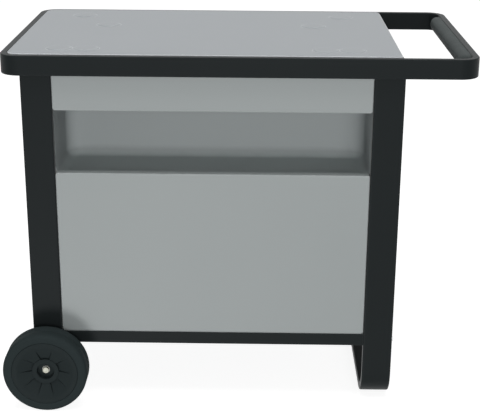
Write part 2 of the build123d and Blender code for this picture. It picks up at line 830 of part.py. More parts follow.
save("front_bottom_rail", cross_rail(-1))
save("rear_bottom_rail", cross_rail(1))
for side_name, (face, facing) in zip(("left", "right"), side_panel_faces()):
    save(f"{side_name}_bottom_rail", side_rail(face, facing, rail_bottom))
    save(f"{side_name}_top_rail", side_rail(face, facing, top_rail_bottom))
    save(f"{side_name}_side_panel", side_panel(face, facing))
save("rail_inserts", rail_inserts())
save("rail_bolts", [bolt(point, way, rail_bolt_length) for point, way in rail_bolt_points()])

save("bottom_shelf", bottom_shelf())
save("shelf_screws", [screw(point, way, shelf_screw_length) for point, way in shelf_screw_points()])
save("front_panel", front_panel())
panel_screws = [screw(point, way, panel_screw_length) for point, way in panel_screw_points()]
panel_screws += [screw(point, way, foot_screw_length) for point, way in panel_foot_points()]
save("front_panel_screws", panel_screws)
save("fascia", fascia())
save("fascia_screws", [screw(point, way, panel_screw_length) for point, way in fascia_screw_points()])
save("storage_bin", storage_bin())
save("bin_screws", [screw(point, way, bin_screw_length) for point, way in bin_screw_points()])
side_screws = []
for face, facing in side_panel_faces():
    for upper, length in ((True, top_screw_length), (False, foot_screw_length)):
        side_screws += [screw(p, way, length) for p, way in side_screw_points(face, facing, upper)]
save("side_panel_screws", side_screws)

save("axle", axle())
save("axle_bushes", axle_bushes())
save("axle_spacers", axle_spacers())
save("axle_washers", axle_washers())
save("axle_caps", axle_caps())
for end_name, side in (("front", -1), ("rear", 1)):
    save(f"{end_name}_wheel_tyre", wheel_tyre(side))
    save(f"{end_name}_wheel_disc", wheel_disc(side))
    save(f"{end_name}_wheel_bush", wheel_bush(side))
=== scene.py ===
# %% [markdown]
# # A plancha cart, dressed for a studio picture
# The cart's shapes come from a packed construction model: a dark tube frame, grey sheet pans and
# two wheels. This lesson gives them their finishes, remodels the pieces that deserve softer forms,
# and sets up the floor, the light and the camera. Everything is in metres, with the floor at z = 0,
# the closed front towards -Y and the push handle towards +X.

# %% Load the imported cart
import math

import bmesh
import bpy
from mathutils import Matrix, Vector


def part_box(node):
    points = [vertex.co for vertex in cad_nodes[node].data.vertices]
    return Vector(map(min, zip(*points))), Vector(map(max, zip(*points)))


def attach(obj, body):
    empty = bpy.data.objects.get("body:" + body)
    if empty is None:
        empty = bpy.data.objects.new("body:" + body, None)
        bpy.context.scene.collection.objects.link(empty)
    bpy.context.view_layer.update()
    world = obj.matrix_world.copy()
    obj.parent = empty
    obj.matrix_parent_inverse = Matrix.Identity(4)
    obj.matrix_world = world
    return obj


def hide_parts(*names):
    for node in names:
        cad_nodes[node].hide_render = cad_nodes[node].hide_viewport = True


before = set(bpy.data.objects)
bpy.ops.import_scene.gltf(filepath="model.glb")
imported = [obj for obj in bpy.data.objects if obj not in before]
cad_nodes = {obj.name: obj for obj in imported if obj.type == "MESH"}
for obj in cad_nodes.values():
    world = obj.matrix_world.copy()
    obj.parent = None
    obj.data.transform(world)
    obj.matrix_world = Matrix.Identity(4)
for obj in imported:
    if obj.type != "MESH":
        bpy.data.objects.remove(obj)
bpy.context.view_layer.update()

# %% [markdown]
# ## Helpers for materials
# A material is a small graph of nodes that ends in a Principled shader. Three short helpers keep the
# graphs readable: one makes an empty material, one puts a node in it, one sets constant values. A
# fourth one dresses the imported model's own pieces in a finished material.


# %% Material helpers
def new_finish(name):
    """A node material, its tree and its Principled shader."""
    finish = bpy.data.materials.new(name)
    finish.use_nodes = True
    tree = finish.node_tree
    shader = tree.nodes["Principled BSDF"]
    shader.location = (600, 0)
    return finish, tree, shader


def put(tree, kind, place, **settings):
    """A node of one kind at a place in the graph, with its settings."""
    node = tree.nodes.new(kind)
    node.location = place
    for key, value in settings.items():
        setattr(node, key, value)
    return node


def set_inputs(node, **values):
    """Constant values on a node's own sockets; an underscore in a name stands for a space."""
    for key, value in values.items():
        node.inputs[key.replace("_", " ")].default_value = value


def wear(finish, *names):
    """Give a finish to CAD nodes."""
    for name in names:
        slots = cad_nodes[name].data.materials
        slots.clear()
        slots.append(finish)
    print(finish.name, "on", ", ".join(names))


# %% [markdown]
# ## Powder coat
# The frame and the pans are powder coated: dry paint that melts into a skin with the faint ripple
# called orange peel, fine grit in it, and a tone that drifts a little over a large sheet. All of the
# paints share that, so it is one node group. It reads Object coordinates, which are metres here, so
# a noise scale of 500 means ripples about two millimetres wide.


# %% The powder coat group
def powder_coat_group():
    """Noise at three sizes: Drift over the sheet, Grit in the paint and the Peel of its skin."""
    group = bpy.data.node_groups.new("powder_coat", "ShaderNodeTree")
    sockets = group.interface
    ripple = sockets.new_socket("Ripple Scale", in_out="INPUT", socket_type="NodeSocketFloat")
    ripple.default_value = 420
    grit = sockets.new_socket("Grit Scale", in_out="INPUT", socket_type="NodeSocketFloat")
    grit.default_value = 1900
    for name in ("Drift", "Grit", "Peel"):
        sockets.new_socket(name, in_out="OUTPUT", socket_type="NodeSocketFloat")
    enter = put(group, "NodeGroupInput", (-800, 0))
    leave = put(group, "NodeGroupOutput", (500, 0))
    where = put(group, "ShaderNodeTexCoord", (-800, 250))
    drift = put(group, "ShaderNodeTexNoise", (-400, 300))
    set_inputs(drift, Scale=3.5, Detail=2.0, Roughness=0.45)
    fine = put(group, "ShaderNodeTexNoise", (-400, 50))
    set_inputs(fine, Detail=1.0, Roughness=0.5)
    skin = put(group, "ShaderNodeTexNoise", (-400, -200))
    set_inputs(skin, Detail=2.0, Roughness=0.55)
    mixed = put(group, "ShaderNodeMix", (100, -100), data_type="FLOAT")
    mixed.inputs["Factor"].default_value = 0.35
    link = group.links.new
    for noise in (drift, fine, skin):
        link(where.outputs["Object"], noise.inputs["Vector"])
    link(enter.outputs["Grit Scale"], fine.inputs["Scale"])
    link(enter.outputs["Ripple Scale"], skin.inputs["Scale"])
    link(skin.outputs["Fac"], mixed.inputs["A"])
    link(fine.outputs["Fac"], mixed.inputs["B"])
    link(drift.outputs["Fac"], leave.inputs["Drift"])
    link(fine.outputs["Fac"], leave.inputs["Grit"])
    link(mixed.outputs["Result"], leave.inputs["Peel"])
    print("group", group.name, "with", len(group.nodes), "nodes")
    return group


powder_coat = powder_coat_group()


# %% [markdown]
# ## Worn edges, with a painted highlight
# Paint and plastic rub thin where things knock against them, on outer edges first. Pointiness would
# need a dense mesh to find those, so the group compares the true normal with one that a Bevel node has
# rounded over a few millimetres: they differ only beside an edge. A noise breaks the mask into worn
# patches, but never below about half, so every edge also gets a painted highlight.


# %% The edge wear and painted highlight group
def edge_wear_and_highlight_group():
    """A mask, Edge, that is 0 on open surfaces and rises beside edges: worn patches over a painted
    highlight.
    """
    group = bpy.data.node_groups.new("edge_wear_and_highlight", "ShaderNodeTree")
    reach = group.interface.new_socket("Reach", in_out="INPUT", socket_type="NodeSocketFloat")
    reach.default_value = 0.004
    group.interface.new_socket("Edge", in_out="OUTPUT", socket_type="NodeSocketFloat")
    enter = put(group, "NodeGroupInput", (-900, 0))
    leave = put(group, "NodeGroupOutput", (500, 0))
    rounded = put(group, "ShaderNodeBevel", (-650, 0), samples=4)
    plain = put(group, "ShaderNodeNewGeometry", (-650, -200))
    alike = put(group, "ShaderNodeVectorMath", (-400, 0), operation="DOT_PRODUCT")
    near_edge = put(group, "ShaderNodeMapRange", (-150, 0))
    set_inputs(near_edge, From_Min=0.99, From_Max=0.80)
    where = put(group, "ShaderNodeTexCoord", (-650, 300))
    patches = put(group, "ShaderNodeTexNoise", (-400, 300))
    set_inputs(patches, Scale=130.0, Detail=3.0, Roughness=0.6)
    # Worn patches above a floor of 0.55, so every edge also gets a painted highlight.
    worn_and_highlit = put(group, "ShaderNodeMapRange", (-150, 300))
    set_inputs(worn_and_highlit, From_Min=0.40, From_Max=0.62, To_Min=0.55)
    both = put(group, "ShaderNodeMath", (200, 100), operation="MULTIPLY")
    link = group.links.new
    link(enter.outputs["Reach"], rounded.inputs["Radius"])
    link(rounded.outputs["Normal"], alike.inputs[0])
    link(plain.outputs["Normal"], alike.inputs[1])
    link(alike.outputs["Value"], near_edge.inputs["Value"])
    link(where.outputs["Object"], patches.inputs["Vector"])
    link(patches.outputs["Fac"], worn_and_highlit.inputs["Value"])
    link(near_edge.outputs["Result"], both.inputs[0])
    link(worn_and_highlit.outputs["Result"], both.inputs[1])
    link(both.outputs[0], leave.inputs["Edge"])
    print("group", group.name, "with", len(group.nodes), "nodes")
    return group


edge_wear_and_highlight = edge_wear_and_highlight_group()


# %% [markdown]
# A paint then mixes two near tones by the drift and the grit, lets the roughness follow the grit, and
# raises a shallow bump from the peel. The bump's distance is a few hundredths of a millimetre, as on
# a real coat, so it softens reflections without looking lumpy. A third, lighter tone shows beside
# edges, as worn paint and as a painted highlight, and on the folds of the sheet as a painted highlight.
# In the niche and on the shelf, a lighter tone on the faces that look up is painted light. Both could
# be painted by hand on a map; here the normal finds them, since a fold's faces slant and a floor looks
# up. The dark frame also has a little haze, which lightens it where it is seen at a flat angle.


# %% Masks from the normal
def fold_highlight_mask(tree, facing, most):
    """A painted highlight: 0 on faces square to an axis, rising to a value on the slanting faces of a
    fold.
    """
    sizes = put(tree, "ShaderNodeVectorMath", (250, 950), operation="ABSOLUTE")
    parts = put(tree, "ShaderNodeSeparateXYZ", (420, 950))
    wider = put(tree, "ShaderNodeMath", (580, 950), operation="MAXIMUM")
    widest = put(tree, "ShaderNodeMath", (740, 950), operation="MAXIMUM")
    slanting = put(tree, "ShaderNodeMapRange", (900, 950))
    set_inputs(slanting, From_Min=0.90, From_Max=0.75, To_Max=most)
    link = tree.links.new
    link(facing.outputs["Normal"], sizes.inputs[0])
    link(sizes.outputs["Vector"], parts.inputs[0])
    link(parts.outputs["X"], wider.inputs[0])
    link(parts.outputs["Y"], wider.inputs[1])
    link(wider.outputs[0], widest.inputs[0])
    link(parts.outputs["Z"], widest.inputs[1])
    link(widest.outputs[0], slanting.inputs["Value"])
    return slanting.outputs["Result"]


def painted_uplight_mask(tree, facing, most):
    """Painted light: 0 on upright faces, rising to a value on the faces that look straight up."""
    upwards = put(tree, "ShaderNodeSeparateXYZ", (250, 750))
    lying = put(tree, "ShaderNodeMapRange", (450, 750))
    set_inputs(lying, From_Min=0.5, From_Max=1.0, To_Max=most)
    tree.links.new(facing.outputs["Normal"], upwards.inputs[0])
    tree.links.new(upwards.outputs["Z"], lying.inputs["Value"])
    return lying.outputs["Result"]


# %% The powder paint
# Painted light: the lighter tone laid on faces that look up.
PAINTED_UPLIGHT = (0.52, 0.575, 0.57)
DRIFT_SHARE = 0.7
EDGE_REACH = 0.004
GLOSS_SWING = 0.05
HAZE_ROUGHNESS = 0.3


def powder_paint(name, low, high, worn_and_highlight, roughness, specular, ripple, depth, painted_uplight_share=0.0, fold_highlight=0.0,
                 haze=0.0):
    """A powder coat between two tones, with worn paint and painted highlights on edges and folds and
    painted light on what faces up.
    """
    finish, tree, shader = new_finish(name)
    coat = put(tree, "ShaderNodeGroup", (-500, 0), node_tree=powder_coat)
    coat.inputs["Ripple Scale"].default_value = ripple
    grit_part = put(tree, "ShaderNodeMath", (-420, 320), operation="MULTIPLY")
    grit_part.inputs[1].default_value = 1 - DRIFT_SHARE
    share = put(tree, "ShaderNodeMath", (-250, 200), operation="MULTIPLY_ADD")
    share.inputs[1].default_value = DRIFT_SHARE
    tone = put(tree, "ShaderNodeMix", (50, 250), data_type="RGBA")
    tone.inputs["A"].default_value = (*low, 1)
    tone.inputs["B"].default_value = (*high, 1)
    edges = put(tree, "ShaderNodeGroup", (50, 480), node_tree=edge_wear_and_highlight)
    edges.inputs["Reach"].default_value = EDGE_REACH
    # The lighter tone is worn paint beside edges, and a painted highlight on edges and folds.
    wear_and_highlight_mask = put(tree, "ShaderNodeMath", (150, 600), operation="MAXIMUM")
    worn_and_highlit = put(tree, "ShaderNodeMix", (300, 300), data_type="RGBA")
    worn_and_highlit.inputs["B"].default_value = (*worn_and_highlight, 1)
    # Painted light: a lighter tone on the faces that look up.
    painted_uplit = put(tree, "ShaderNodeMix", (600, 500), data_type="RGBA")
    painted_uplit.inputs["B"].default_value = (*PAINTED_UPLIGHT, 1)
    facing = put(tree, "ShaderNodeNewGeometry", (50, 750))
    sheen = put(tree, "ShaderNodeMapRange", (50, 0))
    set_inputs(sheen, From_Min=0.3, From_Max=0.7,
               To_Min=roughness - GLOSS_SWING, To_Max=roughness + GLOSS_SWING)
    bump = put(tree, "ShaderNodeBump", (300, -250))
    set_inputs(bump, Strength=0.5, Distance=depth)
    link = tree.links.new
    link(coat.outputs["Grit"], grit_part.inputs[0])
    link(coat.outputs["Drift"], share.inputs[0])
    link(grit_part.outputs[0], share.inputs[2])
    link(share.outputs[0], tone.inputs["Factor"])
    link(tone.outputs["Result"], worn_and_highlit.inputs["A"])
    link(fold_highlight_mask(tree, facing, fold_highlight), wear_and_highlight_mask.inputs[0])
    link(edges.outputs["Edge"], wear_and_highlight_mask.inputs[1])
    link(wear_and_highlight_mask.outputs[0], worn_and_highlit.inputs["Factor"])
    link(painted_uplight_mask(tree, facing, painted_uplight_share), painted_uplit.inputs["Factor"])
    link(worn_and_highlit.outputs["Result"], painted_uplit.inputs["A"])
    link(painted_uplit.outputs["Result"], shader.inputs["Base Color"])
    link(coat.outputs["Grit"], sheen.inputs["Value"])
    link(sheen.outputs["Result"], shader.inputs["Roughness"])
    link(coat.outputs["Peel"], bump.inputs["Height"])
    link(bump.outputs["Normal"], shader.inputs["Normal"])
    set_inputs(shader, Specular_IOR_Level=specular, Sheen_Weight=haze, Sheen_Roughness=HAZE_ROUGHNESS)
    return finish


# %% Painted finishes
# Each third tone is worn paint and a painted highlight on edges and folds.
frame_paint = powder_paint("charcoal_powder", (0.0100, 0.0129, 0.0136), (0.0124, 0.0156, 0.0163),
                           (0.0260, 0.0310, 0.0320), 0.46, 0.06, 520, 0.00006, fold_highlight=0.3, haze=0.15)
panel_paint = powder_paint("grey_powder", (0.278, 0.303, 0.304), (0.297, 0.323, 0.323),
                           (0.440, 0.470, 0.470), 0.46, 0.40, 380, 0.00004, fold_highlight=0.8)
worktop_paint = powder_paint("worktop_powder", (0.287, 0.306, 0.321), (0.304, 0.323, 0.339),
                             (0.660, 0.685, 0.700), 0.44, 0.18, 380, 0.00004, fold_highlight=1.0)
# The niche paint lays painted light on the faces that look up.
niche_paint = powder_paint("niche_powder", (0.283, 0.306, 0.308), (0.303, 0.326, 0.328),
                           (0.310, 0.333, 0.335), 0.62, 0.10, 380, 0.00004, painted_uplight_share=0.6)
wear(frame_paint, "top_ring", "front_left_leg", "rear_left_leg", "right_leg_loop",
     "front_bottom_rail", "rear_bottom_rail", "left_bottom_rail", "right_bottom_rail",
     "left_top_rail", "right_top_rail")
wear(panel_paint, "front_panel", "fascia", "left_side_panel", "right_side_panel")
wear(worktop_paint, "worktop")
wear(niche_paint, "storage_bin", "bottom_shelf")

# %% [markdown]
# ## Moulded plastic and rubber
# Plastic parts take their skin from the mould, which is spark-eroded to a fine even grain. One noise
# could drive both tone and gloss, but then every speck would shine. So there are two: one for the grain,
# and one for the slow change in gloss where the melt cooled faster.


# %% The mould grain group
def mould_grain_group():
    """The skin of a moulded part: fine Grain, and a slow Cooling change in gloss."""
    group = bpy.data.node_groups.new("mould_grain", "ShaderNodeTree")
    sockets = group.interface
    size = sockets.new_socket("Grain Scale", in_out="INPUT", socket_type="NodeSocketFloat")
    size.default_value = 1500
    for name in ("Grain", "Cooling"):
        sockets.new_socket(name, in_out="OUTPUT", socket_type="NodeSocketFloat")
    enter = put(group, "NodeGroupInput", (-700, 0))
    leave = put(group, "NodeGroupOutput", (300, 0))
    where = put(group, "ShaderNodeTexCoord", (-700, 200))
    grain = put(group, "ShaderNodeTexNoise", (-300, 100))
    set_inputs(grain, Detail=3.0, Roughness=0.6)
    cooling = put(group, "ShaderNodeTexNoise", (-300, -150))
    set_inputs(cooling, Scale=22.0, Detail=2.0, Roughness=0.5)
    link = group.links.new
    link(where.outputs["Object"], grain.inputs["Vector"])
    link(where.outputs["Object"], cooling.inputs["Vector"])
    link(enter.outputs["Grain Scale"], grain.inputs["Scale"])
    link(grain.outputs["Fac"], leave.inputs["Grain"])
    link(cooling.outputs["Fac"], leave.inputs["Cooling"])
    print("group", group.name, "with", len(group.nodes), "nodes")
    return group


mould_grain = mould_grain_group()


# %% Plastic finishes
COOLING_SWING = 0.04


def moulded(name, low, high, roughness, specular, grain, depth):
    """A moulded plastic or rubber between two tones."""
    finish, tree, shader = new_finish(name)
    skin = put(tree, "ShaderNodeGroup", (-500, 0), node_tree=mould_grain)
    skin.inputs["Grain Scale"].default_value = grain
    tone = put(tree, "ShaderNodeMix", (0, 250), data_type="RGBA")
    tone.inputs["A"].default_value = (*low, 1)
    tone.inputs["B"].default_value = (*high, 1)
    gloss = put(tree, "ShaderNodeMapRange", (0, 0))
    set_inputs(gloss, From_Min=0.3, From_Max=0.7,
               To_Min=roughness - COOLING_SWING, To_Max=roughness + COOLING_SWING)
    bump = put(tree, "ShaderNodeBump", (300, -250))
    set_inputs(bump, Strength=0.6, Distance=depth)
    link = tree.links.new
    link(skin.outputs["Grain"], tone.inputs["Factor"])
    link(tone.outputs["Result"], shader.inputs["Base Color"])
    link(skin.outputs["Cooling"], gloss.inputs["Value"])
    link(gloss.outputs["Result"], shader.inputs["Roughness"])
    link(skin.outputs["Grain"], bump.inputs["Height"])
    link(bump.outputs["Normal"], shader.inputs["Normal"])
    shader.inputs["Specular IOR Level"].default_value = specular
    return finish


grip_plastic = moulded("grip_moulding", (0.046, 0.054, 0.054), (0.058, 0.067, 0.067),
                       0.60, 0.06, 1300, 0.0001)
cap_plastic = moulded("cap_moulding", (0.012, 0.012, 0.012), (0.020, 0.020, 0.020),
                      0.50, 0.35, 1500, 0.00008)
wheel_plastic = moulded("wheel_moulding", (0.0153, 0.0212, 0.0220), (0.0205, 0.0268, 0.0276),
                        0.60, 0.05, 1500, 0.0001)
tyre_rubber = moulded("tyre_moulding", (0.0217, 0.0298, 0.0309), (0.0291, 0.0380, 0.0391),
                      0.70, 0.02, 1100, 0.00012)
bush_nylon = moulded("bush_moulding", (0.50, 0.50, 0.46), (0.58, 0.58, 0.54),
                     0.40, 0.45, 1200, 0.00005)
wear(grip_plastic, "handle_grip")
wear(cap_plastic, "left_leg_caps", "rail_inserts")
wear(wheel_plastic, "front_wheel_disc", "rear_wheel_disc")
wear(tyre_rubber, "front_wheel_tyre", "rear_wheel_tyre")
wear(bush_nylon, "front_wheel_bush", "rear_wheel_bush", "axle_bushes")

# %% [markdown]
# ## Zinc plate
# Screws, bolts and the axle are steel with a bright zinc plate: metallic, slightly cloudy, with
# crystals that catch the light a little differently. A plain metal shader would look like chrome, so a
# Voronoi texture gives each crystal its own grey, and a noise gives the cloudiness.


# %% The zinc finish
CRYSTAL_SCALE = 650
CLOUD_SWING = 0.08


def zinc_plate(name, dark, bright, roughness):
    """Bright zinc-plated steel."""
    finish, tree, shader = new_finish(name)
    where = put(tree, "ShaderNodeTexCoord", (-900, 0))
    crystals = put(tree, "ShaderNodeTexVoronoi", (-650, 200))
    crystals.inputs["Scale"].default_value = CRYSTAL_SCALE
    cloud = put(tree, "ShaderNodeTexNoise", (-650, -150))
    set_inputs(cloud, Scale=160.0, Detail=3.0, Roughness=0.6)
    grey = put(tree, "ShaderNodeSeparateColor", (-400, 200))
    tone = put(tree, "ShaderNodeMix", (0, 250), data_type="RGBA")
    tone.inputs["A"].default_value = (*dark, 1)
    tone.inputs["B"].default_value = (*bright, 1)
    gloss = put(tree, "ShaderNodeMapRange", (0, 0))
    set_inputs(gloss, From_Min=0.25, From_Max=0.75,
               To_Min=roughness - CLOUD_SWING, To_Max=roughness + CLOUD_SWING)
    bump = put(tree, "ShaderNodeBump", (300, -250))
    set_inputs(bump, Strength=0.3, Distance=0.00003)
    link = tree.links.new
    link(where.outputs["Object"], crystals.inputs["Vector"])
    link(where.outputs["Object"], cloud.inputs["Vector"])
    link(crystals.outputs["Color"], grey.inputs["Color"])
    link(grey.outputs["Red"], tone.inputs["Factor"])
    link(tone.outputs["Result"], shader.inputs["Base Color"])
    link(cloud.outputs["Fac"], gloss.inputs["Value"])
    link(gloss.outputs["Result"], shader.inputs["Roughness"])
    link(cloud.outputs["Fac"], bump.inputs["Height"])
    link(bump.outputs["Normal"], shader.inputs["Normal"])
    shader.inputs["Metallic"].default_value = 1.0
    return finish


zinc_steel = zinc_plate("bright_zinc", (0.56, 0.57, 0.58), (0.70, 0.71, 0.72), 0.32)
wear(zinc_steel, "ring_nuts", "leg_bolts", "worktop_screws", "rail_bolts", "shelf_screws",
     "front_panel_screws", "fascia_screws", "bin_screws", "side_panel_screws", "axle",
     "axle_spacers", "axle_washers")
cap_steel = zinc_plate("cap_zinc", (0.30, 0.30, 0.258), (0.357, 0.357, 0.31), 0.60)
wear(cap_steel, "axle_caps")

# %% [markdown]
# ## Helpers for modelling
# The pieces below are modelled as by hand: a primitive or a traced outline, then edit-mode operators
# on a selection. Operators act on whatever is selected, so each piece starts from an empty selection,
# and one helper picks vertices, edges or faces by a test on their place and normal. Every piece has its
# origin at the world's origin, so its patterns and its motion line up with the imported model.


# %% Modelling helpers
MERGE_REACH = 0.000005
SAME_PLACE = 0.00002


def begin(name, add, **settings):
    """Add a primitive on its own, with its place in its mesh, and open it for editing."""
    bpy.ops.object.select_all(action="DESELECT")
    add(**settings)
    bpy.ops.object.transform_apply(location=True, rotation=True, scale=True)
    piece = bpy.context.object
    piece.name = piece.data.name = name
    bpy.ops.object.mode_set(mode="EDIT")
    bpy.ops.mesh.select_mode(type="VERT")
    return piece


def pick(piece, kind, wanted):
    """Select the VERTs, EDGEs or FACEs whose middle and normal pass a test; returns how many."""
    bpy.ops.mesh.select_mode(type=kind)
    bpy.ops.mesh.select_all(action="DESELECT")
    mesh = bmesh.from_edit_mesh(piece.data)
    if kind == "VERT":
        chosen = [v for v in mesh.verts if wanted(v.co, v.normal)]
    elif kind == "EDGE":
        chosen = [e for e in mesh.edges if wanted((e.verts[0].co + e.verts[1].co) / 2, e)]
    else:
        chosen = [f for f in mesh.faces if wanted(f.calc_center_median(), f.normal)]
    for part in chosen:
        part.select = True
    mesh.select_flush_mode()
    bmesh.update_edit_mesh(piece.data)
    return len(chosen)


def trace(name, points):
    """Draw a closed outline by extruding one vertex from point to point, and fill it."""
    piece = begin(name, bpy.ops.mesh.primitive_plane_add, size=0.001, location=points[0])
    bpy.ops.mesh.select_all(action="SELECT")
    bpy.ops.mesh.merge(type="CENTER")
    for here, there in zip(points, points[1:]):
        step = Vector(there) - Vector(here)
        bpy.ops.mesh.extrude_vertices_move(TRANSFORM_OT_translate={"value": step})
    bpy.ops.mesh.select_all(action="SELECT")
    bpy.ops.mesh.edge_face_add()
    return piece


def round_corners(piece, places, offset, segments):
    """Round the outline's corners that lie at some places."""
    pick(piece, "VERT", lambda co, n: any((co - Vector(p)).length < SAME_PLACE for p in places))
    bpy.ops.mesh.bevel(offset=offset, segments=segments, affect="VERTICES")


def join_up():
    """Merge the doubles of the piece in hand and turn its faces outwards."""
    bpy.ops.mesh.select_all(action="SELECT")
    bpy.ops.mesh.remove_doubles(threshold=MERGE_REACH)
    bpy.ops.mesh.normals_make_consistent(inside=False)


def close_up(piece, angle):
    """Join a piece up, leave edit mode, and shade smooth up to an angle."""
    join_up()
    bpy.ops.object.mode_set(mode="OBJECT")
    bpy.ops.object.shade_smooth_by_angle(angle=math.radians(angle))
    print(piece.name, len(piece.data.vertices), "vertices", len(piece.data.polygons), "faces")


def finish_piece(piece, finish, body, slot, *nodes):
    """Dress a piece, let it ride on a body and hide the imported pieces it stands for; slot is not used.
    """
    piece.data.materials.clear()
    piece.data.materials.append(finish)
    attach(piece, body)
    if nodes:
        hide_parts(*nodes)


def mirrored(piece, name):
    """A copy of a front piece for the rear, with its own mesh, mirrored in y."""
    bpy.ops.object.select_all(action="DESELECT")
    piece.select_set(True)
    bpy.context.view_layer.objects.active = piece
    bpy.ops.object.duplicate()
    copy = bpy.context.object
    copy.name = copy.data.name = name
    bpy.ops.object.mode_set(mode="EDIT")
    bpy.ops.mesh.select_all(action="SELECT")
    bpy.ops.transform.resize(value=(1, -1, 1), center_override=(0, 0, 0))
    bpy.ops.mesh.normals_make_consistent(inside=False)
    bpy.ops.object.mode_set(mode="OBJECT")
    return copy


# %% [markdown]
# ## Tyres
# The tyre is a plain soft ring: round shoulders, sidewalls that fall from a crest to the rim, and the
# hairline where the two halves of its mould met. A torus would be too round and a cylinder too square,
# so its section is traced, its corners are rounded, and it is spun about the axle. The outline lies
# level with the axle, so a radius runs along x and the width along y.

# %% Wheel places
low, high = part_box("front_wheel_tyre")
WHEEL_RADIUS = (high.x - low.x) / 2
WHEEL_MIDDLE = Vector(((low.x + high.x) / 2, 0, WHEEL_RADIUS))
WHEEL_BACK = high.y
WHEEL_WIDE = high.y - low.y
disc_low, disc_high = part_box("front_wheel_disc")
DISC_RADIUS = (disc_high.x - disc_low.x) / 2
RIM_GAP = 0.0001
RIM_RADIUS = DISC_RADIUS + RIM_GAP
RIM_RECESS = disc_low.y - low.y
print("wheel radius", round(WHEEL_RADIUS, 4), "width", round(WHEEL_WIDE, 4))


def on_wheel(radius, width):
    """A point of the front wheel's section: a radius, and a width from its back face outwards."""
    return Vector((WHEEL_MIDDLE.x + radius, WHEEL_BACK - width, WHEEL_MIDDLE.z))


def spin_wheel(piece, steps):
    """Turn the traced outline into a ring round the axle."""
    bpy.ops.mesh.select_all(action="SELECT")
    bpy.ops.mesh.delete(type="ONLY_FACE")
    bpy.ops.mesh.select_all(action="SELECT")
    bpy.ops.mesh.spin(steps=steps, angle=math.tau, center=WHEEL_MIDDLE, axis=(0, 1, 0),
                      use_auto_merge=True)


# %% Tyre outline
CREST_RADIUS = RIM_RADIUS + 0.007
BEAD_DROP = 0.0008
SHOULDER_ROUND = 0.009
CREST_ROUND = 0.0038
BEAD_ROUND = 0.0015
bead = on_wheel(RIM_RADIUS, WHEEL_WIDE - BEAD_DROP)
crest = on_wheel(CREST_RADIUS, WHEEL_WIDE)
shoulder = on_wheel(WHEEL_RADIUS, WHEEL_WIDE)
back_shoulder = on_wheel(WHEEL_RADIUS, 0)
back_crest = on_wheel(CREST_RADIUS, 0)
back_bead = on_wheel(RIM_RADIUS, BEAD_DROP)
tyre = trace("front_tyre", [bead, crest, shoulder, back_shoulder, back_crest, back_bead])
round_corners(tyre, [shoulder, back_shoulder], SHOULDER_ROUND, 8)
round_corners(tyre, [crest, back_crest], CREST_ROUND, 5)
round_corners(tyre, [bead, back_bead], BEAD_ROUND, 4)
print("tyre section", round(WHEEL_RADIUS - RIM_RADIUS, 4), "deep")

# %% Mould line and spin
MOULD_LINE_HALF = 0.0007
MOULD_LINE_DEEP = 0.0004
TYRE_STEPS = 120
tread_middle = on_wheel(WHEEL_RADIUS, WHEEL_WIDE / 2)
pick(tyre, "EDGE", lambda middle, e: (middle - tread_middle).length < MOULD_LINE_HALF)
bpy.ops.mesh.subdivide(number_cuts=1)
round_corners(tyre, [tread_middle], MOULD_LINE_HALF, 2)
pick(tyre, "VERT", lambda co, n: (co - tread_middle).length < MOULD_LINE_HALF / 2)
bpy.ops.transform.translate(value=(-MOULD_LINE_DEEP, 0, 0))
spin_wheel(tyre, TYRE_STEPS)
close_up(tyre, 40)
rear_tyre = mirrored(tyre, "rear_tyre")
finish_piece(tyre, tyre_rubber, "front_wheel", "tyre_rubber", "front_wheel_tyre")
finish_piece(rear_tyre, tyre_rubber, "rear_wheel", "tyre_rubber", "rear_wheel_tyre")

# %% [markdown]
# ## Wheel discs
# The disc is one plastic moulding: a rim, a web that dishes in towards the hub, five wedge-shaped
# pockets in the web with a crease down each side, and stiffening ribs behind it. Cutting the pockets
# with booleans would leave hard edges. Here the section is spun in fine steps, and the vertices of each
# pocket are pushed in ring by ring, deeper towards the hub, so the creases stay soft as on a moulding.

# %% Disc outline
RIM_FACE = WHEEL_WIDE - RIM_RECESS
DISH_RADIUS = 0.0683
HUB_RADIUS = 0.032
HUB_FACE = RIM_FACE - 0.0135
HUB_TOP = HUB_FACE + 0.0015
WEB_BACK = RIM_FACE - 0.022
RECESS_RADIUS = 0.0205
RECESS_FLOOR = HUB_TOP - 0.012
BORE_RADIUS = 0.00905
RIB_START = 0.0335
RIB_END = 0.0685
RIM_INSIDE = DISC_RADIUS - 0.009
outline = [(BORE_RADIUS, 0), (HUB_RADIUS, 0), (HUB_RADIUS, WEB_BACK), (RIB_START, WEB_BACK),
           (RIB_END, WEB_BACK), (RIM_INSIDE, WEB_BACK), (RIM_INSIDE, RIM_RECESS),
           (DISC_RADIUS, RIM_RECESS), (DISC_RADIUS, RIM_FACE), (DISH_RADIUS, RIM_FACE),
           (HUB_RADIUS, HUB_FACE), (HUB_RADIUS, HUB_TOP), (RECESS_RADIUS, HUB_TOP),
           (RECESS_RADIUS, RECESS_FLOOR), (BORE_RADIUS, RECESS_FLOOR)]
disc = trace("front_disc", [on_wheel(r, w) for r, w in outline])

# %% Round the outline's corners
ROUNDINGS = (([(DISC_RADIUS, RIM_FACE), (DISC_RADIUS, RIM_RECESS)], 0.0015, 4),
             ([(RIM_INSIDE, RIM_RECESS)], 0.0008, 2),
             ([(DISH_RADIUS, RIM_FACE)], 0.0030, 4),
             ([(HUB_RADIUS, HUB_TOP)], 0.0012, 4),
             ([(RECESS_RADIUS, HUB_TOP)], 0.0008, 3))
for corners, radius, segments in ROUNDINGS:
    round_corners(disc, [on_wheel(*corner) for corner in corners], radius, segments)
print("disc outline of", len(outline), "corners")


# %% Spin the disc
def polar(co):
    """A point's radius about the axle and its angle in degrees, from +x towards +z."""
    away = co - WHEEL_MIDDLE
    return math.hypot(away.x, away.z), math.degrees(math.atan2(away.z, away.x))


